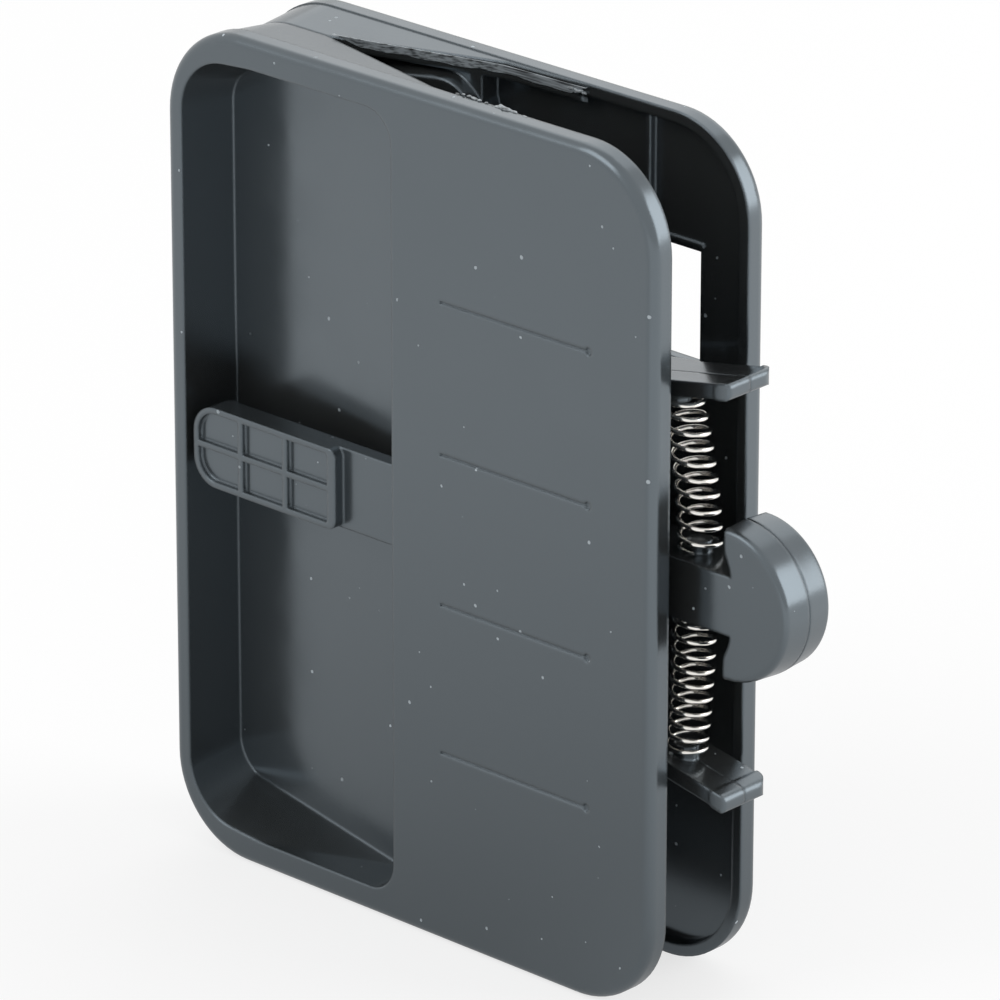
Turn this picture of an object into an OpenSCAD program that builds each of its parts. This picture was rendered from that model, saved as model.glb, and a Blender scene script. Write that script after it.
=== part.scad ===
// Sliding screen door latch and pull.
// Two moulded half shells stand back to back and clamp the door stile between
// their plates. A rocking lever with a thumb tab in each finger cup carries a
// round-headed nose, which two coil springs hold at mid height.
// X runs from the pull side to the nose, Y through the door, Z up.

/* [Plates] */
// Width of each plate
plate_w = 69.9; // [66:0.5:80]
// Height of each plate
plate_h = 95.2; // [90:0.5:120]
// Thickness over both plates
overall_t = 17.1; // [16:0.1:22]
// Depth of a plate's side wall
plate_t = 2.65; // [2.3:0.05:3.2]
// Thickness of a plate's face wall
face_t = 1.25; // [1:0.05:1.4]
// Width of the rim round the inside of a plate
rim_w = 1.35; // [1:0.05:2]
// Radius of a plate's corners
corner_r = 10.5; // [8:0.5:14]
// Rounding of a plate's outer edge
edge_r = 1.1; // [0.6:0.1:1.4]

/* [Back to back bodies] */
// Length of the seam where the two halves touch
seam_w = 15.7; // [12:0.1:22]
// Distance from the pull side at which the skirt's steep taper ends
skirt_bend = 36.3; // [30:0.1:42]
// Distance from the pull side at which the tapering skirt runs out
skirt_w = 47.5; // [44:0.5:50]
// How far the skirt draws in between its plate and the seam
skirt_draft = 0.75; // [0.3:0.05:1]

/* [Finger cup] */
// Rim beside the cup on the pull side
cup_side = 2.2; // [2:0.1:4]
// Rim above and below the cup
cup_margin = 3; // [3:0.1:6]
// Width of the cup's mouth
cup_w = 30.9; // [28:0.1:32]
// Corner radius of the mouth on the pull side
cup_r_outer = 7.2; // [5:0.1:8]
// Corner radius of the mouth on the nose side
cup_r_inner = 3.8; // [2.5:0.1:5]
// Gap between the floor's back and the seam plane at the pull side
floor_gap = 0.12; // [0.1:0.02:0.4]
// Rise of the floor for each millimetre towards the nose
floor_slope = 0.085; // [0.06:0.005:0.1]
// Draft of the cup's upper and lower walls at the pull side
draft_outer = 3.5; // [2:0.1:4]
// Draft of the cup's upper and lower walls at the nose side
draft_inner = 0.7; // [0.5:0.1:2]
// Thickness of the cup's walls and floor
cup_wall = 0.9; // [0.8:0.05:1.2]

/* [Face lines] */
// Number of engraved lines
line_count = 4; // [2:1:5]
// Spacing of the engraved lines
line_pitch = 17; // [12:0.5:18]
// Distance of the lines from the cup
line_gap = 6.9; // [5:0.1:9]
// Distance of the lines' dimples from the nose side
line_margin = 9; // [6:0.1:12]
// Width of the lines
line_w = 0.35; // [0.3:0.05:0.6]
// Depth of the lines
line_d = 0.2; // [0.15:0.05:0.4]
// Diameter of the dimple at the end of each line
dimple_d = 0.9; // [0.7:0.1:1.2]

/* [Rear window] */
// Distance of the window from the nose side
window_edge = 7.8; // [6:0.1:10]
// Width of the window
window_w = 7.9; // [6:0.1:9]
// Height of the window's lower edge above the lever's middle
window_low = 19.9; // [19:0.1:21]
// Height of the window
window_h = 12.5; // [10:0.1:14]
// Width of the ridge above the window
ridge_w = 0.5; // [0.4:0.05:0.8]
// Height of the ridge above the tray
ridge_h = 0.25; // [0.2:0.05:0.5]
// Distance of the stiffening rib from the nose side
rib_edge = 14.1; // [13:0.1:16]
// Thickness of the stiffening rib
rib_w = 0.5; // [0.4:0.1:1.2]
// Length of the stiffening rib
rib_len = 10; // [6:0.5:11]

/* [Spring seats] */
// Reach of the seats beyond the plates
seat_reach = 5.6; // [4:0.1:6]
// Height of the upper seat's spring face above the lever's middle, at the plates' edge
upper_rise = 21.4; // [20:0.1:24]
// Depth of the lower seat's spring face below the lever's middle, at the plates' edge
lower_rise = 20.7; // [20:0.1:24]
// Thickness of a seat
seat_t = 1.7; // [1.5:0.1:2.4]
// Width of the inside half of a seat at its end
seat_front_w = 3.3; // [2.6:0.1:3.8]
// Width of the outside half of a seat at its end
seat_rear_w = 3.9; // [2.6:0.1:4]
// Lean of the seats
seat_lean = 11.2; // [6:0.1:13]
// Thickness of the bar at a seat's end
lip_t = 1.9; // [1.8:0.05:2.4]
// Length of the bar
lip_len = 2.2; // [1.5:0.1:3]
// Rounding of the bar
lip_r = 0.6; // [0.2:0.05:0.7]

/* [Lever] */
// Distance of the pivot from the cup
pivot_gap = 8.9; // [8.5:0.1:10]
// Radius of the pivot studs
stud_r = 2; // [1.5:0.1:2.4]
// Running clearance of the hub on its studs
stud_gap = 0.06; // [0.03:0.01:0.1]
// Radius of the lever's hub
hub_r = 5.2; // [4.6:0.1:5.6]
// Sideways clearance of the lever inside the plates
side_gap = 0.25; // [0.2:0.05:0.35]
// Height of the thumb tabs and their bars
tab_h = 9.2; // [8:0.1:10]
// Width of the thumb tabs
tab_w = 21.1; // [19:0.1:22]
// Gap between the tab's end and the cup's side wall
tab_gap = 1.2; // [0.8:0.1:2]
// How far the tab's face lies below the plate's face
tab_sink = 0.15; // [0.1:0.05:0.5]
// Thickness of the bars that carry the tabs
bar_t = 1.75; // [1.4:0.05:2]
// Corner radius at the rounded end of a tab
tab_r = 3.2; // [2:0.1:4]
// Corner radius at the other end of a tab
tab_end_r = 1; // [0.5:0.1:1.5]
// Extra width of the border at that end
tab_end_rim = 0.5; // [0:0.1:1]
// Width of the raised border and ribs on the tabs
grip_w = 0.65; // [0.5:0.05:0.8]
// Depth of the grip pockets in the tabs
grip_d = 0.6; // [0.4:0.05:0.8]
// Height of the lever's arm
arm_h = 6.6; // [6:0.1:8]
// Thickness of the arm and nose
arm_t = 6.9; // [6:0.1:8]

/* [Nose] */
// Reach of the nose beyond the plates
nose_reach = 14.1; // [12:0.1:16]
// Radius of the round head
nose_r = 8.6; // [7.5:0.1:9.5]
// Draft of the head's rim on each side
nose_draft = 0.2; // [0.1:0.05:0.4]
// Rounding of the head's edges
nose_edge_r = 0.6; // [0.3:0.1:1]
// Depth of the parting groove round the head
parting_d = 0.15; // [0.05:0.05:0.3]
// Undercut of the barbs behind the head
barb_cut = 0.9; // [0.4:0.1:1.2]

/* [Springs] */
// Outer diameter of the coils
spring_d = 4.8; // [4.2:0.1:5.2]
// Diameter of the wire
wire_d = 0.5; // [0.4:0.02:0.56]
// Number of turns in each spring
spring_turns = 10.4; // [8:0.1:12]
// Turns that lie close together at each end
closed_turns = 0.6; // [0.4:0.1:1]
// Distance of the upper spring's lever end inside the plates' edge
upper_at = 1.1; // [0.2:0.05:1.6]
// Distance of the lower spring's lever end inside the plates' edge
lower_at = 1.55; // [0.2:0.05:1.6]
// How far the upper spring's seat end stands back towards the plates
upper_bow = 3; // [1:0.1:3.4]
// How far the lower spring's seat end stands back towards the plates
lower_bow = 1; // [0.6:0.1:3]
// Gap between a spring and what it rests on
rest_gap = 0.12; // [0.08:0.02:0.2]
// Radius of the pegs inside the springs
peg_r = 1.35; // [1.1:0.05:1.5]
// Height of the pegs
peg_h = 1.3; // [0.8:0.1:1.6]

/* [Hidden] */

$fn = 96;
eps = 0.01;
sink = 0.3;                            // how far joined forms reach into each other
x0 = -(plate_w + nose_reach) / 2;      // pull side of the plates
x1 = x0 + plate_w;                     // nose side of the plates
mid_z = plate_h / 2;                   // height of the lever's middle
face_y = overall_t / 2;                // faces, measured out from the seam plane
rim_y = face_y - plate_t;              // inner rims, which clamp the stile
tray_y = face_y - face_t;              // inner side of the face walls
cup_x0 = x0 + cup_side;
cup_x1 = cup_x0 + cup_w;
pivot_x = cup_x1 + pivot_gap;
side_draft = 0.5;                      // draft of the cup's side walls
bar_y = tray_y - side_gap;             // outer side of the bars
bar_in_y = bar_y - bar_t;              // inner side of the bars
tab_x0 = cup_x0 + tab_gap;
tab_y = face_y - tab_sink;             // grip side of the tabs
swing = 8;                             // travel of the lever each way, in degrees
neck_x = x1 + nose_reach - nose_r;     // centre of the round head
seat_x1 = x1 + seat_reach;
window_x0 = x1 - window_edge - window_w;
coil_r = (spring_d - wire_d) / 2;
cup_back_y = rim_y - 1.5;               // how far the room behind the cup reaches up beside it
weld_x = cup_x0 + cup_w - 4;           // pegs that hold the halves together
weld_rise = plate_h * 0.29;
weld_r = 2.4;
weld_peg_r = 1.1;

// Height of the cup's floor above the seam plane
function floor_y(x) = floor_gap + cup_wall + floor_slope * (x - cup_x0);
// Distance of a seat's spring face from the lever's middle, up = 1 for the upper seat and -1 for the lower one
function seat_face(x, up) = (up > 0 ? upper_rise : lower_rise) + (x - x1) * tan(seat_lean);
// Place of a spring at the lever and at its seat
function lever_end(up) = x1 - (up > 0 ? upper_at : lower_at);
function seat_back(up) = up > 0 ? upper_bow : lower_bow;

// The outline of a plate drawn in by a margin, with square left and right parts allowed
module outline(inset) {
    r = corner_r - inset;
    x = x0 + inset;
    w = plate_w - 2 * inset;
    h = plate_h - 2 * inset;
    translate([x + r, inset]) square([w - 2 * r, h]);
    translate([x, inset + r]) square([w, h - 2 * r]);
    for (cx = [x + r, x + w - r], cy = [inset + r, inset + h - r])
        translate([cx, cy]) circle(r);
}

// Half of a plate's section, from the corner centre outwards, with its rounded outer edge
module edge_section() {
    square([corner_r - edge_r, plate_t]);
    square([corner_r, plate_t - edge_r]);
    translate([corner_r - edge_r, plate_t - edge_r]) circle(edge_r);
}

// Solid plate with rounded corners and a rounded outer edge, standing on its rim
module plate() {
    w = plate_w - 2 * corner_r;
    h = plate_h - 2 * corner_r;
    translate([x0 + corner_r, corner_r, rim_y]) {
        for (k = [0, 1], j = [0, 1])
            translate([k * w, j * h, 0])
                rotate([0, 0, 180 + 90 * (k + j) + 180 * j * (1 - k)])
                    rotate_extrude(angle = 90) edge_section();
        cube([w, h, plate_t]);
        for (k = [0, 1]) {
            translate([k * w, k * h, 0]) rotate([0, 0, 180 * k]) edge_bar(w);
            translate([k * w, (1 - k) * h, 0]) rotate([0, 0, 180 * k - 90]) edge_bar(h);
        }
    }
}

// Straight part of a plate's edge, lying along X with its rounded side towards -Y
module edge_bar(len) {
    rotate([90, 0, 90]) linear_extrude(len) mirror([1, 0]) edge_section();
}

// Skirt that closes the space between a plate and the seam, cut to a taper
module skirt() {
    intersection() {
        hull() {
            translate([0, 0, rim_y + sink]) linear_extrude(eps) outline(0.1);
            linear_extrude(eps) outline(skirt_draft);
        }
        translate([0, plate_h + 1, 0]) rotate([90, 0, 0]) linear_extrude(plate_h + 2)
            polygon([[x0 - 1, 0], [x0 + seam_w, 0], [x0 + skirt_bend, rim_y - 0.45], [x0 + skirt_w, rim_y],
                     [x0 + skirt_w, rim_y + 1], [x0 - 1, rim_y + 1]]);
    }
}

// Space inside a half: the tray beside the cup, and the room behind the cup
module hollow() {
    tray_x = cup_x1 + cup_wall / 2;
    translate([0, 0, rim_y]) linear_extrude(tray_y - rim_y) intersection() {
        outline(rim_w);
        translate([tray_x, 0]) square([plate_w, plate_h]);
    }
    translate([0, 0, -1]) linear_extrude(rim_y + 1 + sink) intersection() {
        outline(rim_w + skirt_draft);
        translate([tray_x, 0]) square([plate_w, plate_h]);
    }
    translate([0, 0, -1]) linear_extrude(cup_back_y + 1) intersection() {
        outline(rim_w + skirt_draft);
        translate([x0, 0]) square([tray_x - x0 + 1, plate_h]);
    }
}

// The cup's mouth, grown by a wall
module mouth(grow) {
    hull()
        for (side = [-1, 1]) {
            translate([cup_x0 + cup_r_outer, mid_z + side * (mid_z - cup_margin - cup_r_outer)])
                circle(cup_r_outer + grow, $fn = 64);
            translate([cup_x1 - cup_r_inner, mid_z + side * (mid_z - cup_margin - cup_r_inner)])
                circle(cup_r_inner + grow, $fn = 64);
        }
}

// The cup's floor outline, grown by a wall
module floor_outline(grow) {
    r_outer = cup_r_outer - 3;
    r_inner = cup_r_inner - 0.8;
    hull()
        for (side = [-1, 1]) {
            translate([cup_x0 + side_draft + r_outer,
                       mid_z + side * (mid_z - cup_margin - draft_outer - r_outer)])
                circle(r_outer + grow, $fn = 48);
            translate([cup_x1 - 0.2 - r_inner,
                       mid_z + side * (mid_z - cup_margin - draft_inner - r_inner)])
                circle(r_inner + grow, $fn = 48);
        }
}

// Solid that fills the cup from its mouth to its sloping floor, grown by a wall
module cup_form(grow, top) {
    lean = [[1, 0, 0, 0], [0, 1, 0, 0], [floor_slope, 0, 1, floor_y(0) - grow], [0, 0, 0, 1]];
    hull() {
        translate([0, 0, top]) linear_extrude(eps) mouth(grow);
        multmatrix(lean) linear_extrude(eps) floor_outline(grow);
    }
}

// Rocking window in the cup's inner side wall for a lever bar
module bar_slot() {
    reach = cup_x1 + cup_wall + 0.6;
    half = tab_h / 2 + (pivot_x - cup_x1 + cup_wall) * sin(swing) + 0.35;
    translate([cup_x1 - 1, mid_z - half, bar_in_y - 0.35])
        cube([reach - cup_x1 + 1, 2 * half, tray_y - bar_in_y + 0.35]);
}

// Engraved lines and their dimples
module face_lines() {
    start = cup_x1 + line_gap;
    line_len = x1 - line_margin - start;
    for (k = [0 : line_count - 1]) {
        y = mid_z + (k - (line_count - 1) / 2) * line_pitch;
        translate([start, y - line_w / 2, face_y - line_d]) cube([line_len, line_w, 1]);
        translate([start + line_len, y, face_y - line_d * 1.4]) cylinder(h = 1, d = dimple_d, $fn = 24);
    }
}

// One half of a spring seat: a leaning shelf from the plate to the seam plane, seen from above
module seat_plan(half_w) {
    polygon([[x1 - 21.4, tray_y + 0.4], [x1 - 14.7, tray_y + 0.4], [x1 - 9.5, 4.6], [x1 - 3.9, half_w - 0.15],
             [seat_x1 - 1, half_w - 0.15], [seat_x1 - 1, 0], [x1 - 7.7, 0], [x1 - 19.4, rim_y - 1.2]]);
}

// Shelf with the seat's plan, standing along the plate's height
module seat_slab(half_w) {
    translate([0, seat_t, 0]) rotate([90, 0, 0]) linear_extrude(seat_t) seat_plan(half_w);
}

// Rounded bar across a seat's end
module seat_bar(half_w, end_r) {
    intersection() {
        linear_extrude(half_w) {
            translate([seat_x1 - lip_len, lip_r]) square([lip_len, lip_t - 2 * lip_r]);
            translate([seat_x1 - lip_len + lip_r, 0]) square([lip_len - 2 * lip_r, lip_t]);
            for (x = [seat_x1 - lip_len + lip_r, seat_x1 - lip_r], y = [lip_r, lip_t - lip_r])
                translate([x, y]) circle(lip_r);
        }
        translate([0, 10, 0]) rotate([90, 0, 0]) linear_extrude(20) {
            translate([seat_x1 - 5, -1]) square([5 - end_r, half_w + 1]);
            translate([seat_x1 - 5, -1]) square([5, half_w + 1 - end_r]);
            translate([seat_x1 - end_r, half_w - end_r]) circle(end_r, $fn = 32);
        }
    }
}

// Half seat, up = 1 for the upper one and -1 for the lower one
module seat(up, half_w, end_r) {
    lean = [[1, 0, 0, 0], [up * tan(seat_lean), 1, 0, up * seat_face(0, up)], [0, 0, 1, 0], [0, 0, 0, 1]];
    low = up > 0 ? 0 : -1;
    translate([0, mid_z, 0]) {
        multmatrix(lean) {
            translate([0, low * seat_t, 0]) seat_slab(half_w);
            translate([0, low * lip_t - up * (lip_t - seat_t) / 2, 0]) seat_bar(half_w, end_r);
        }
        // half peg inside the spring's end
        x = lever_end(up) - seat_back(up);
        intersection() {
            translate([x, up * seat_face(x, up), 0]) rotate([90 * up, 0, 0])
                translate([0, 0, -0.8]) cylinder(h = peg_h + 0.8, r = peg_r, $fn = 32);
            translate([x - 3, -40, 0]) cube([6, 80, 3]);
        }
    }
}

// One half shell without its own details, outwards along Z
module half_shell(half_w, end_r) {
    difference() {
        union() {
            difference() {
                union() {
                    plate();
                    skirt();
                }
                hollow();
            }
            cup_form(cup_wall, face_y - face_t / 2);
            for (side = [-1, 1])
                translate([weld_x, mid_z + side * weld_rise, 0])
                    cylinder(h = floor_y(weld_x) - cup_wall / 2, r = weld_r, $fn = 48);
            seat(1, half_w, end_r);
            seat(-1, half_w, end_r);
            // stud that carries the lever
            translate([pivot_x, mid_z, 1.2]) cylinder(h = tray_y - 1.2 + eps, r = stud_r);
            // stiffening ribs inside the tray
            for (side = [-1, 1])
                translate([x1 - rib_edge - rib_w, side > 0 ? plate_h - rim_w - rib_len : rim_w - eps, tray_y - 1])
                    cube([rib_w, rib_len + eps, 1 + eps]);
        }
        cup_form(0, face_y + 1);
        bar_slot();
        face_lines();
    }
}

// Inside half, with the pegs that join the halves
module front_pull() {
    color("#5f666c") rotate([90, 0, 0]) {
        half_shell(seat_front_w, 0.4);
        for (side = [-1, 1])
            translate([weld_x, mid_z + side * weld_rise, -1.2])
                cylinder(h = 1.2 + eps, r = weld_peg_r, $fn = 32);
    }
}

// Outside half, with the window above the upper seat
module rear_pull() {
    color("#5f666c") mirror([0, 1, 0]) rotate([90, 0, 0])
        difference() {
            union() {
                half_shell(seat_rear_w, 1.7);
                translate([window_x0 - ridge_w, mid_z + window_low + window_h + ridge_w, tray_y - ridge_h])
                    cube([window_w + 2 * ridge_w, ridge_w, ridge_h + eps]);
            }
            translate([window_x0, mid_z + window_low, tray_y - 1])
                cube([window_w, window_h, face_t + 2]);
            for (side = [-1, 1])
                translate([weld_x, mid_z + side * weld_rise, -1])
                    cylinder(h = 1 + 1.25, r = weld_peg_r + 0.05, $fn = 32);
        }
}

// Outline of a thumb tab, more rounded at the pull side, with a further margin at the other end
module tab_outline(inset, end_inset) {
    r = tab_r - inset;
    q = max(tab_end_r - inset, 0.2);
    w = tab_w - 2 * inset - end_inset;
    h = tab_h - 2 * inset;
    translate([tab_x0 + inset, -h / 2]) {
        translate([r, 0]) square([w - r - q, h]);
        translate([0, r]) square([r + 0.1, h - 2 * r]);
        translate([w - q - 0.1, q]) square([q + 0.1, h - 2 * q]);
        for (y = [r, h - r]) translate([r, y]) circle(r, $fn = 48);
        for (y = [q, h - q]) translate([w - q, y]) circle(q, $fn = 48);
    }
}

// Grip pockets: three columns in two rows, split by ribs
module grip_pockets() {
    step = (tab_w - grip_w - tab_end_rim) / 3;
    difference() {
        tab_outline(grip_w, tab_end_rim);
        for (k = [1, 2])
            translate([tab_x0 + k * step, -tab_h]) square([grip_w, 2 * tab_h]);
        translate([tab_x0, -grip_w / 2]) square([tab_w, grip_w]);
    }
}

// Bar and thumb tab of one side, outwards along Z from the lever's middle
module tab_side() {
    difference() {
        union() {
            translate([0, 0, bar_in_y]) linear_extrude(tab_y - bar_in_y) tab_outline(0, 0);
            translate([tab_x0 + tab_w / 2, -tab_h / 2, bar_in_y])
                cube([pivot_x - tab_x0 - tab_w / 2, tab_h, bar_t]);
        }
        translate([0, 0, tab_y - grip_d]) linear_extrude(grip_d + 1) grip_pockets();
    }
}

// Section of the round head from its centre out, tapering from the parting line
module head_section() {
    h = arm_t / 2;
    e = nose_edge_r;
    for (s = [0, 1]) mirror([0, s]) {
        polygon([[0, 0], [nose_r - parting_d, 0], [nose_r, parting_d * 0.8], [nose_r - nose_draft, h - e],
                 [nose_r - nose_draft - e, h - e], [0, h - e]]);
        square([nose_r - nose_draft - e, h]);
        translate([nose_r - nose_draft - e, h - e]) circle(e, $fn = 48);
    }
}

// Round head with its swept barbs
module nose() {
    difference() {
        translate([neck_x, 0, 0]) rotate([0, 0, -92]) rotate_extrude(angle = 184) head_section();
        for (s = [-1, 1]) scale([1, s, 1])
            translate([0, 0, -arm_t]) linear_extrude(2 * arm_t)
                polygon([[neck_x - 3, arm_h / 2], [neck_x - 0.2 + barb_cut, arm_h / 2],
                         [neck_x - 0.2 + barb_cut * 0.75, arm_h / 2 + 1],
                         [neck_x - 0.25, arm_h / 2 + 2.7], [neck_x - 0.25, nose_r + 1], [neck_x - 3, nose_r + 1]]);
    }
}

// Rocking lever: tabs, hub, arm and nose in one moulding
module latch_lever() {
    color("#565d63") translate([0, 0, mid_z]) difference() {
        rotate([90, 0, 0]) {
            for (s = [0, 1]) mirror([0, 0, s]) tab_side();
            translate([pivot_x, 0, -bar_y]) cylinder(h = 2 * bar_y, r = hub_r);
            translate([pivot_x, -arm_h / 2, -arm_t / 2]) cube([neck_x + 1 - pivot_x, arm_h, arm_t]);
            nose();
            for (s = [-1, 1])
                translate([lever_end(s), 0, 0]) rotate([-90 * s, 0, 0])
                    cylinder(h = arm_h / 2 + peg_h, r = peg_r, $fn = 32);
        }
        translate([pivot_x, -20, 0]) rotate([-90, 0, 0]) cylinder(h = 40, r = stud_r + stud_gap);
    }
}

// Length of a spring from the lever's arm to its seat
function spring_len(up) =
    seat_face(lever_end(up) - seat_back(up), up) - arm_h / 2 - 2 * rest_gap - wire_d - spring_d / 2 * tan(seat_lean);

// Point on the axis of a coil, 0 at the lever and 1 at the seat
function axis_at(u, up) = [lever_end(up) - seat_back(up) * pow(max(u, 0), 1.8),
                           arm_h / 2 + rest_gap + wire_d / 2 + u * spring_len(up)];

// Turns against height: the end turns lie close together, and the rest are a little wider near the lever
function lift(t, up) = let (
        close = closed_turns * 1.2 * wire_d / spring_len(up),
        share = closed_turns / spring_turns,
        s = (t - share) / (1 - 2 * share)
    ) t < share ? close * t / share
      : t > 1 - share ? 1 - close * (1 - t) / share
      : close + (1 - 2 * close) * (s + 0.09 * s * (1 - s));

// A left-handed coil spring that leans towards its seat, up = 1 above the arm and -1 below it
module spring(up) {
    steps = round(spring_turns * 20);
    sides = 8;
    start = up > 0 ? 65 : -47;
    function centre(t) = let (a = axis_at(lift(t, up), up), w = start + 360 * spring_turns * t)
        [a[0] + coil_r * cos(w), -up * coil_r * sin(w), up * a[1]];
    function ring(i) = let (
            t = i / steps,
            c = centre(t),
            d = centre(min(t + 0.001, 1)) - centre(max(t - 0.001, 0)),
            n = d / norm(d),
            w = start + 360 * spring_turns * t,
            out = [cos(w), -up * sin(w), 0],
            b = cross(n, out),
            bn = b / norm(b),
            o = cross(bn, n)
        ) [for (k = [0 : sides - 1]) c + wire_d / 2 * (cos(360 * k / sides) * o + sin(360 * k / sides) * bn)];
    points = [for (i = [0 : steps]) each ring(i)];
    faces = concat(
        [[for (k = [sides - 1 : -1 : 0]) k]],
        [for (i = [0 : steps - 1], k = [0 : sides - 1])
            [i * sides + k, i * sides + (k + 1) % sides, (i + 1) * sides + (k + 1) % sides, (i + 1) * sides + k]],
        [[for (k = [0 : sides - 1]) steps * sides + k]]);
    translate([0, 0, mid_z]) polyhedron(points, faces);
}

module upper_spring() {
    color("silver") spring(1);
}

module lower_spring() {
    color("silver") spring(-1);
}

front_pull();
rear_pull();
latch_lever();
upper_spring();
lower_spring();
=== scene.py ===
"""Sliding screen door latch: moulded black half shells, a rocking latch lever and two coil springs."""
import math
import random

import bmesh
import bpy
from mathutils import Matrix, Vector


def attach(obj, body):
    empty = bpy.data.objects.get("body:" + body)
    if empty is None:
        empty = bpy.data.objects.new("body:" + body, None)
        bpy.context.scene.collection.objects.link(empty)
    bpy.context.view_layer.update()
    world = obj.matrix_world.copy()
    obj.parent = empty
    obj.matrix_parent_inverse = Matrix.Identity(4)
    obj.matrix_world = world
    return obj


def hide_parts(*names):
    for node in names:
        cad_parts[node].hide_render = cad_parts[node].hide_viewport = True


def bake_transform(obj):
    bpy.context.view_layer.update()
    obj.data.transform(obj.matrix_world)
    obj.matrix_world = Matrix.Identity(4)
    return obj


MM = 0.001
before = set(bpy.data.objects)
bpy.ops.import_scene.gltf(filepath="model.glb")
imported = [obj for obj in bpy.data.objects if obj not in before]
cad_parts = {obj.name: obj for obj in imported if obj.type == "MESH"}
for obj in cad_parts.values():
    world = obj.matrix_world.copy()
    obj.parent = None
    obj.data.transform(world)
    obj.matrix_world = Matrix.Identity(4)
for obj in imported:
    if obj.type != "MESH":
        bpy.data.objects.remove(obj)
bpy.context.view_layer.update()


def srgb(code):
    """'#rrggbb' as the linear colour that a shader wants."""
    channels = [int(code[i:i + 2], 16) / 255 for i in (1, 3, 5)]
    linear = [c / 12.92 if c <= 0.04045 else ((c + 0.055) / 1.055) ** 2.4 for c in channels]
    return (*linear, 1.0)


def add(tree, kind, settings=None, **links):
    """Adds a node. A setting is a property of the node or a constant input, by name or number.

    A link goes to the input of its name, with _ for a space, or to input N as iN."""
    made = tree.nodes.new(kind)
    for key, value in (settings or {}).items():
        if hasattr(made, key):
            setattr(made, key, value)
        else:
            made.inputs[int(key) if key.isdigit() else key].default_value = value
    for key, source in links.items():
        name = key.replace("_", " ")
        target = made.inputs[int(key[1:])] if key[0] == "i" and key[1:].isdigit() else made.inputs[name]
        tree.links.new(source, target)
    return made


def new_material(name):
    """An empty node material: the material, its tree and its output node."""
    material = bpy.data.materials.new(name)
    material.use_nodes = True
    tree = material.node_tree
    tree.nodes.clear()
    out = tree.nodes.new("ShaderNodeOutputMaterial")
    return material, tree, out


def face_outwards(bm):
    """Turns a closed mesh's faces outwards, also where its farthest face lies edge-on, as a coil's end does."""
    bmesh.ops.recalc_face_normals(bm, faces=bm.faces)
    if bm.calc_volume(signed=True) < 0:
        bmesh.ops.reverse_faces(bm, faces=bm.faces)


def finish_mesh(name, bm, material, smooth_angle=35):
    """A mesh object from a bmesh, smooth but for its sharp edges."""
    mesh = bpy.data.meshes.new(name)
    bm.to_mesh(mesh)
    bm.free()
    mesh.materials.append(material)
    mesh.shade_smooth()
    mesh.set_sharp_from_angle(angle=math.radians(smooth_angle))
    piece = bpy.data.objects.new(name, mesh)
    bpy.context.scene.collection.objects.link(piece)
    return piece


# Materials

PLASTIC = "#2d2f2f"
SHEEN = "#e2f3ff"
DUST = "#c9d2d8"
BRIGHT_WIRE = "#e2dfda"
# dark and pale streaks of a painted highlight, which lightens the flash where it lies in shade
HIGHLIGHT_STREAK_DARK = "#3d4144"
HIGHLIGHT_STREAK_PALE = "#b4bcc1"

# polystyrene has 1.59, and the moulded skin mirrors its surroundings more than that
SKIN_IOR = 2.15
HIGHLIGHT_STREAK_IOR = 1.8
DUST_ROUGHNESS = 0.7
HIGHLIGHT_STREAK_ROUGHNESS = 0.38

FLOW_MARK = 9 * MM
WAVE = 6 * MM
WAVE_DEPTH = 0.03 * MM
RIPPLE = 0.7 * MM
RIPPLE_DEPTH = 0.02 * MM
DUST_CELL = 1.6 * MM
# a cell holds a speck where its random value, 0 to 1, is above this
CLEAN_SHARE = 0.78
# radius of the largest speck, in cells
LARGEST_SPECK = 0.145
# how far a speck's outline wanders in and out, in cells, and over what length
SPECK_WANDER = 0.1
DUST_RAGGED = 0.3 * MM
EDGE_ROUNDING = 0.5 * MM
DRAW_MARK = 0.25 * MM
STREAK_WIDTH = 0.25 * MM
STREAK_DEPTH = 0.05 * MM
# a streak is 20 times as long as it is wide
STREAK_STRETCH = 0.05


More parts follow.
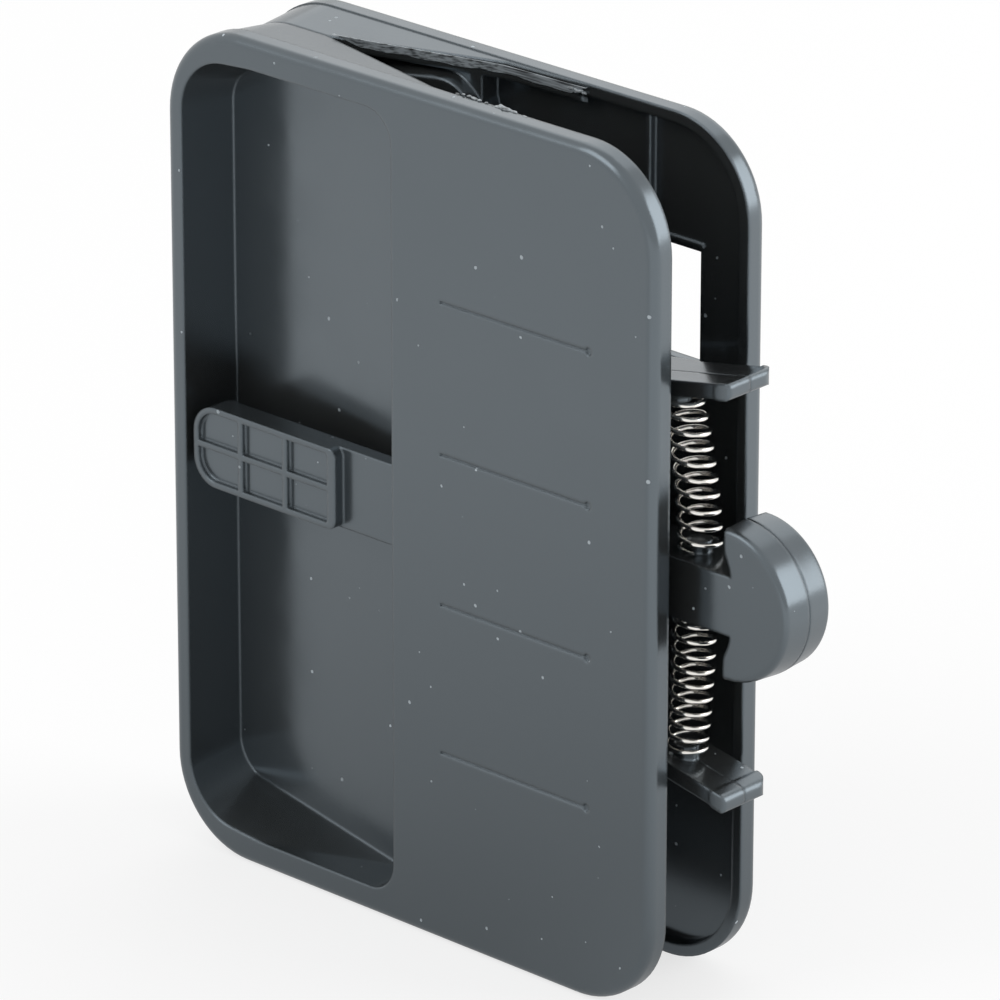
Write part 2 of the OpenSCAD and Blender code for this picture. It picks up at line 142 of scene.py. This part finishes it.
def moulded_plastic(name, colour, shift):
    """Black high-impact polystyrene: a glossy moulded skin with a cool bloom, faint flow marks and dust."""
    material, tree, out = new_material(name)
    place = add(tree, "ShaderNodeTexCoord").outputs["Object"]
    shifted = add(tree, "ShaderNodeMapping", {"Location": (shift, shift, 0)}, Vector=place).outputs["Vector"]

    # flow marks of the moulding change the gloss
    flow = add(tree, "ShaderNodeTexNoise", {"Scale": 1 / FLOW_MARK, "Detail": 4.0},
               Vector=shifted).outputs["Fac"]
    gloss = add(tree, "ShaderNodeMapRange", {"From Min": 0.3, "From Max": 0.7, "To Min": 0.17, "To Max": 0.26},
                Value=flow).outputs["Result"]
    # the skin is wavy, with a finer ripple
    wave = add(tree, "ShaderNodeTexNoise", {"Scale": 1 / WAVE, "Detail": 1.0}, Vector=shifted).outputs["Fac"]
    ripple = add(tree, "ShaderNodeTexNoise", {"Scale": 1 / RIPPLE, "Detail": 2.0},
                 Vector=shifted).outputs["Fac"]

    # dust: ragged specks of 0.1 to 0.3 mm, in about every fifth cell
    wobble = add(tree, "ShaderNodeTexNoise", {"Scale": 1 / DUST_RAGGED, "Detail": 1.0},
                 Vector=shifted).outputs["Fac"]
    cells = add(tree, "ShaderNodeTexVoronoi", {"Scale": 1 / DUST_CELL, "Randomness": 1.0}, Vector=shifted)
    pick = add(tree, "ShaderNodeSeparateColor", Color=cells.outputs["Color"])
    size = add(tree, "ShaderNodeMapRange",
               {"From Min": CLEAN_SHARE, "From Max": 1.0, "To Min": 0.0, "To Max": LARGEST_SPECK},
               Value=pick.outputs["Red"]).outputs["Result"]
    ragged = add(tree, "ShaderNodeMath", {"operation": "MULTIPLY_ADD", "1": SPECK_WANDER},
                 i0=wobble, i2=cells.outputs["Distance"]).outputs[0]
    edge = add(tree, "ShaderNodeMath", {"operation": "SUBTRACT", "1": SPECK_WANDER / 2}, i0=ragged).outputs[0]
    speck = add(tree, "ShaderNodeMath", {"operation": "LESS_THAN"}, i0=edge, i1=size).outputs[0]
    amount = add(tree, "ShaderNodeMath", {"operation": "MULTIPLY"},
                 i0=speck, i1=pick.outputs["Green"]).outputs[0]

    skin = add(tree, "ShaderNodeMix", {"data_type": "RGBA", "6": srgb(colour), "7": srgb(DUST)}, i0=amount)
    rough = add(tree, "ShaderNodeMix", {"data_type": "FLOAT", "3": DUST_ROUGHNESS}, i0=amount, i2=gloss)
    # no edge of the moulding is quite sharp
    rounded = add(tree, "ShaderNodeBevel", {"samples": 6, "Radius": EDGE_ROUNDING}).outputs["Normal"]
    broad = add(tree, "ShaderNodeBump", {"Strength": 0.5, "Distance": WAVE_DEPTH}, Height=wave, Normal=rounded)
    bump = add(tree, "ShaderNodeBump", {"Strength": 0.08, "Distance": RIPPLE_DEPTH}, Height=ripple,
               Normal=broad.outputs["Normal"])
    shader = add(tree, "ShaderNodeBsdfPrincipled", {"IOR": SKIN_IOR, "Specular Tint": srgb(SHEEN)},
                 Base_Color=skin.outputs[2], Roughness=rough.outputs[0], Normal=bump.outputs["Normal"])
    tree.links.new(shader.outputs[0], out.inputs[0])
    return material


def drawn_wire(name):
    """Hard-drawn spring steel, bright, with fine draw marks that break up its shine."""
    material, tree, out = new_material(name)
    place = add(tree, "ShaderNodeTexCoord").outputs["Object"]
    marks = add(tree, "ShaderNodeTexNoise", {"Scale": 1 / DRAW_MARK, "Detail": 2.0},
                Vector=place).outputs["Fac"]
    rough = add(tree, "ShaderNodeMapRange", {"From Min": 0.3, "From Max": 0.7, "To Min": 0.1, "To Max": 0.22},
                Value=marks).outputs["Result"]
    shader = add(tree, "ShaderNodeBsdfPrincipled", {"Base Color": srgb(BRIGHT_WIRE), "Metallic": 1.0},
                 Roughness=rough)
    tree.links.new(shader.outputs[0], out.inputs[0])
    return material


def painted_highlight_plastic(name):
    """The same polystyrene, painted pale in fine streaks along X as a highlight on flash that lies in shade;
    the streaks take its shine.
    """
    material, tree, out = new_material(name)
    place = add(tree, "ShaderNodeTexCoord").outputs["Object"]
    drawn = add(tree, "ShaderNodeMapping", {"Scale": (STREAK_STRETCH, 1, 1)}, Vector=place).outputs["Vector"]
    streaks = add(tree, "ShaderNodeTexNoise", {"Scale": 1 / STREAK_WIDTH, "Detail": 3.0},
                  Vector=drawn).outputs["Fac"]
    pale = add(tree, "ShaderNodeMapRange", {"From Min": 0.34, "From Max": 0.56},
               Value=streaks).outputs["Result"]
    skin = add(tree, "ShaderNodeMix", {"data_type": "RGBA", "6": srgb(HIGHLIGHT_STREAK_DARK), "7": srgb(HIGHLIGHT_STREAK_PALE)},
               i0=pale)
    bump = add(tree, "ShaderNodeBump", {"Strength": 0.4, "Distance": STREAK_DEPTH}, Height=streaks)
    shader = add(tree, "ShaderNodeBsdfPrincipled", {"IOR": HIGHLIGHT_STREAK_IOR, "Roughness": HIGHLIGHT_STREAK_ROUGHNESS},
                 Base_Color=skin.outputs[2], Normal=bump.outputs["Normal"])
    tree.links.new(shader.outputs[0], out.inputs[0])
    return material


housing_plastic = moulded_plastic("black_polystyrene_shell", PLASTIC, 0.0)
lever_plastic = moulded_plastic("black_polystyrene_lever", PLASTIC, 0.31)
spring_wire = drawn_wire("drawn_spring_wire")
# the flash and burrs get a painted highlight of pale streaks
painted_highlight_finish = painted_highlight_plastic("black_polystyrene_painted_highlight")

for node, finish in (
        ("front_pull", housing_plastic),
        ("rear_pull", housing_plastic),
        ("latch_lever", lever_plastic)):
    for cad_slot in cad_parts[node].material_slots:
        cad_slot.material = finish


# Springs: left-handed coils that lean back towards their seats

PLATE_EDGE_X = 27.9 * MM
MIDDLE_Z = 47.6 * MM
COIL_R = 2.15 * MM
WIRE_R = 0.25 * MM
ARM_TOP = 3.42 * MM
TURNS = 10.4
CLOSED_TURNS = 0.6
STEPS_PER_TURN = 30
WIRE_SIDES = 14
# the climb of a closed turn, in wire radii: a little over one wire's thickness
CLOSED_CLIMB = 2.4
# the coils are wider apart near the lever than near the seat
CLIMB_SHARES = (1.06, 1, 0.94)
BOW_CURVE = 1.8


def coil(name, up, foot_x, top, bow, start):
    """A spring of round wire from the lever's arm to its seat, up = 1 above the arm and -1 below it."""
    bm = bmesh.new()
    ring = bmesh.ops.create_circle(bm, radius=WIRE_R, segments=WIRE_SIDES)["verts"]
    bmesh.ops.rotate(bm, verts=ring, cent=(0, 0, 0), matrix=Matrix.Rotation(math.radians(90), 3, "X"))
    bmesh.ops.translate(bm, verts=ring, vec=(COIL_R, 0, ARM_TOP + WIRE_R))
    bmesh.ops.rotate(bm, verts=ring, cent=(0, 0, 0), matrix=Matrix.Rotation(math.radians(start), 3, "Z"))
    last = list(ring) + list(bm.edges)
    close = CLOSED_TURNS * CLOSED_CLIMB * WIRE_R
    rise = top - ARM_TOP - 2 * WIRE_R - 2 * close
    third = (TURNS - 2 * CLOSED_TURNS) / 3
    thirds = [(third, rise * share / 3) for share in CLIMB_SHARES]
    for turns, climb in ((CLOSED_TURNS, close), *thirds, (CLOSED_TURNS, close)):
        steps = round(turns * STEPS_PER_TURN)
        made = bmesh.ops.spin(bm, geom=last, cent=(0, 0, 0), axis=(0, 0, 1), dvec=(0, 0, climb / steps),
                              angle=math.radians(-360 * turns), steps=steps)
        last = made["geom_last"]
    bmesh.ops.holes_fill(bm, edges=[e for e in bm.edges if e.is_boundary], sides=WIRE_SIDES)
    for v in bm.verts:
        u = min(1.0, max(0.0, (v.co.z - ARM_TOP) / (top - ARM_TOP)))
        v.co.x += foot_x - bow * u ** BOW_CURVE
        v.co.z = MIDDLE_Z + up * v.co.z
        v.co.y *= up
    face_outwards(bm)
    return finish_mesh(name, bm, spring_wire, 60)


for name, node, up, foot_x, top, bow, start in (
        ("upper_coil", "upper_spring", 1, PLATE_EDGE_X - 1.0 * MM, 19.98 * MM, 2.75 * MM, -65),
        ("lower_coil", "lower_spring", -1, PLATE_EDGE_X - 1.65 * MM, 19.59 * MM, 1.0 * MM, 47)):
    piece = coil(name, up, foot_x, top, bow, start)
    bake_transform(piece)
    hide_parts(node)


# Flash: thin burrs left by the mould where the tapering skirts run out

TOP_Z = 95.2 * MM
FLASH_SMOOTH = 50
# the outside half's skirt seen from above: seam, bend and end
TAPER = ((-25.5 * MM, 0.35 * MM), (-5.7 * MM, 5.45 * MM), (5.5 * MM, 5.9 * MM))
FEATHER_DROP = 0.45 * MM
FEATHER_HEIGHT = 1.0 * MM
FEATHER_INSET = 0.1 * MM
FEATHER_LEAN = 0.25 * MM
FEATHER_THICK = 0.08 * MM
FEATHER_STEPS = 60
FEATHER_SEED = 16


def keep_flash(name, bm):
    """Flash is part of the half shells' moulding, so it rides on the housing."""
    face_outwards(bm)
    # the flash wears the painted highlight of pale streaks
    piece = finish_mesh(name, bm, painted_highlight_finish, FLASH_SMOOTH)
    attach(piece, "housing")


def burr(name, start, end, thick, lumps, seed):
    """A ragged bead of flash along a mould edge: a row of drawn-out lumps, each turned and moved a little."""
    rng = random.Random(seed)
    bm = bmesh.new()
    for k in range(lumps):
        spot = Vector(start).lerp(Vector(end), (k + 0.5) / lumps)
        lump = bmesh.ops.create_icosphere(bm, subdivisions=2, radius=thick)["verts"]
        size = (rng.uniform(1.2, 2.4), rng.uniform(0.5, 0.9), rng.uniform(0.45, 0.9))
        bmesh.ops.scale(bm, verts=lump, vec=size)
        for v in lump:
            v.co *= rng.uniform(0.85, 1.12)
        yaw = Matrix.Rotation(rng.uniform(-0.5, 0.5), 3, "Z")
        pitch = Matrix.Rotation(rng.uniform(-0.3, 0.3), 3, "Y")
        bmesh.ops.rotate(bm, verts=lump, cent=(0, 0, 0), matrix=yaw @ pitch)
        shift = Vector((0, rng.uniform(-0.15, 0.15) * MM, rng.uniform(-0.1, 0.1) * MM))
        bmesh.ops.translate(bm, verts=lump, vec=spot + shift)
    keep_flash(name, bm)


def point_along(path, far):
    """The point at a distance along a path."""
    for a, b in zip(path, path[1:]):
        length = (b - a).length
        if far <= length:
            return a.lerp(b, far / length)
        far -= length
    return path[-1]


def skirt_feather(name, path):
    """A thin ragged feather of flash that hangs from the cut edge of a skirt."""
    rng = random.Random(FEATHER_SEED)
    path = [Vector(point) for point in path]
    total = sum((b - a).length for a, b in zip(path, path[1:]))
    along = [point_along(path, total * k / FEATHER_STEPS) for k in range(FEATHER_STEPS + 1)]
    bm = bmesh.new()
    bmesh.ops.create_grid(bm, x_segments=FEATHER_STEPS, y_segments=2, size=1.0)
    for v in bm.verts:
        k = round((v.co.x + 1) / 2 * FEATHER_STEPS)
        row = (v.co.y + 1) / 2
        ragged = 1 + 0.12 * math.sin(k * 0.5) * math.sin(k * 0.23 + 1) + rng.uniform(-0.03, 0.03)
        fade = min(1.0, k / 6, (FEATHER_STEPS - k) / 4)
        x, y = along[k]
        v.co = Vector((x, y - FEATHER_INSET - FEATHER_LEAN * row,
                       TOP_Z - FEATHER_DROP - FEATHER_HEIGHT * (1 - row) * ragged * fade))
    bm.normal_update()
    bmesh.ops.solidify(bm, geom=bm.faces[:], thickness=FEATHER_THICK)
    keep_flash(name, bm)


skirt_feather("rear_skirt_flash", TAPER)
# burrs: start, end, half thickness, lumps, seed
burr("front_burr", (-2.6 * MM, -5.55 * MM, TOP_Z - 0.02 * MM), (8.0 * MM, -5.9 * MM, TOP_Z - 0.06 * MM),
     0.22 * MM, 13, 5)
burr("front_burr_lump", (3.6 * MM, -5.7 * MM, TOP_Z - 0.04 * MM), (5.6 * MM, -5.8 * MM, TOP_Z - 0.06 * MM),
     0.34 * MM, 4, 3)
burr("rear_burr", (2.6 * MM, 5.7 * MM, TOP_Z - 0.8 * MM), (5.2 * MM, 5.8 * MM, TOP_Z - 1.2 * MM),
     0.36 * MM, 5, 9)


# Table, lights and world

TABLE_PAINT = "#e6e6e6"
# what the camera sees of the table: a darker paint that keeps the shadow, and a glow that makes it white
SEEN_PAINT = "#9a9a9a"
SEEN_GLOW = 0.72
# in reflections the glow is weaker close to the object, where the table stands in the object's shade
SHADED_GLOW = 0.36
SHADE_REACH = 160 * MM
# and stronger on the right, from which the light comes
LIT_SIDE = 1.38
LIT_FROM = 80 * MM
TABLE_HALF = 3.0
TABLE_DROP = 0.02 * MM
SKY_LIGHT = 0.55
LAMP_AIM = (0.0, 0.0, 0.048)


def seen_or_mirrored(tree):
    """The light path's rays, and 1 for what the camera sees, by itself or in a mirror."""
    rays = add(tree, "ShaderNodeLightPath").outputs
    seen = add(tree, "ShaderNodeMath", {"operation": "MAXIMUM"},
               i0=rays["Is Camera Ray"], i1=rays["Is Glossy Ray"])
    return rays, seen.outputs[0]


def pale_table():
    """A matt white painted board, plain and evenly lit, with the object's shadow on it."""
    material, tree, out = new_material("white_table")
    rays, seen = seen_or_mirrored(tree)
    plain = add(tree, "ShaderNodeBsdfDiffuse", {"Color": srgb(TABLE_PAINT)})
    dim = add(tree, "ShaderNodeBsdfDiffuse", {"Color": srgb(SEEN_PAINT)})
    place = add(tree, "ShaderNodeTexCoord").outputs["Object"]
    away = add(tree, "ShaderNodeVectorMath", {"operation": "LENGTH"}, Vector=place).outputs["Value"]
    shade = add(tree, "ShaderNodeMapRange",
                {"From Min": 0.0, "From Max": SHADE_REACH, "To Min": SHADED_GLOW, "To Max": SEEN_GLOW},
                Value=away).outputs["Result"]
    level = add(tree, "ShaderNodeMix", {"data_type": "FLOAT", "2": SEEN_GLOW},
                i0=rays["Is Glossy Ray"], i3=shade)
    x = add(tree, "ShaderNodeSeparateXYZ", Vector=place).outputs["X"]
    side = add(tree, "ShaderNodeMapRange",
               {"From Min": 0.0, "From Max": LIT_FROM, "To Min": 1.0, "To Max": LIT_SIDE},
               Value=x).outputs["Result"]
    fall = add(tree, "ShaderNodeMix", {"data_type": "FLOAT", "2": 1.0}, i0=rays["Is Glossy Ray"], i3=side)
    strength = add(tree, "ShaderNodeMath", {"operation": "MULTIPLY"},
                   i0=level.outputs[0], i1=fall.outputs[0])
    glow = add(tree, "ShaderNodeEmission", {"Color": (1, 1, 1, 1)}, Strength=strength.outputs[0])
    both = add(tree, "ShaderNodeAddShader", i0=dim.outputs[0], i1=glow.outputs[0])
    mix = add(tree, "ShaderNodeMixShader", i0=seen, i1=plain.outputs[0], i2=both.outputs[0])
    tree.links.new(mix.outputs[0], out.inputs[0])
    bm = bmesh.new()
    bmesh.ops.create_grid(bm, x_segments=1, y_segments=1, size=TABLE_HALF)
    bmesh.ops.translate(bm, verts=bm.verts, vec=(0, 0, -TABLE_DROP))
    finish_mesh("floor", bm, material)


def soft_light(name, place, size, power):
    """A square softbox that is turned to the object and isn't seen itself."""
    lamp = bpy.data.lights.new(name, "AREA")
    lamp.shape = "SQUARE"
    lamp.size = size
    lamp.energy = power
    holder = bpy.data.objects.new(name, lamp)
    holder.location = place
    holder.rotation_euler = (Vector(LAMP_AIM) - Vector(place)).to_track_quat("-Z", "Y").to_euler()
    holder.visible_camera = False
    bpy.context.scene.collection.objects.link(holder)


def white_world():
    """White for the camera and in reflections, and a softer light on the object."""
    world = bpy.data.worlds.new("studio")
    bpy.context.scene.world = world
    world.use_nodes = True
    tree = world.node_tree
    tree.nodes.clear()
    seen = seen_or_mirrored(tree)[1]
    level = add(tree, "ShaderNodeMapRange", {"To Min": SKY_LIGHT, "To Max": 1.0}, Value=seen)
    sky = add(tree, "ShaderNodeBackground", {"Color": (1, 1, 1, 1)}, Strength=level.outputs["Result"])
    tree.links.new(sky.outputs[0], add(tree, "ShaderNodeOutputWorld").inputs[0])


pale_table()
# softboxes: place and size in metres, power in watts
soft_light("key_softbox", (-0.5, -1.0, 1.1), 0.9, 5.0)
soft_light("back_softbox", (-0.5, 0.9, 0.9), 1.1, 2.0)
soft_light("side_softbox", (0.95, 0.75, 0.46), 0.9, 6.8)
white_world()


# Camera

VIEW_AZIMUTH = math.radians(42.98)
VIEW_ELEVATION = math.radians(22.15)
VIEW_ROLL = math.radians(0.06)
VIEW_DISTANCE = 857.2 * MM
VIEW_TARGET = Vector((-1.34 * MM, 0, 48.62 * MM))
FOCAL_PIXELS = 8129
IMAGE_PIXELS = 1000
SENSOR_WIDTH = 36


def photo_camera():
    """The camera of the photograph, turned and placed as its edges and corners tell."""
    data = bpy.data.cameras.new("photo_camera")
    camera = bpy.data.objects.new("photo_camera", data)
    bpy.context.scene.collection.objects.link(camera)
    back = Vector((math.sin(VIEW_AZIMUTH) * math.cos(VIEW_ELEVATION),
                   -math.cos(VIEW_AZIMUTH) * math.cos(VIEW_ELEVATION),
                   math.sin(VIEW_ELEVATION)))
    right = Vector((math.cos(VIEW_AZIMUTH), math.sin(VIEW_AZIMUTH), 0))
    up = back.cross(right)
    tilted_right = right * math.cos(VIEW_ROLL) + up * math.sin(VIEW_ROLL)
    tilted_up = up * math.cos(VIEW_ROLL) - right * math.sin(VIEW_ROLL)
    turn = Matrix((tilted_right, tilted_up, back)).transposed().to_4x4()
    camera.matrix_world = Matrix.Translation(VIEW_TARGET + back * VIEW_DISTANCE) @ turn
    data.sensor_width = SENSOR_WIDTH
    data.lens = SENSOR_WIDTH * FOCAL_PIXELS / IMAGE_PIXELS
    data.clip_start = 10 * MM
    bpy.context.scene.camera = camera


photo_camera()
bpy.context.scene.view_settings.view_transform = "Standard"
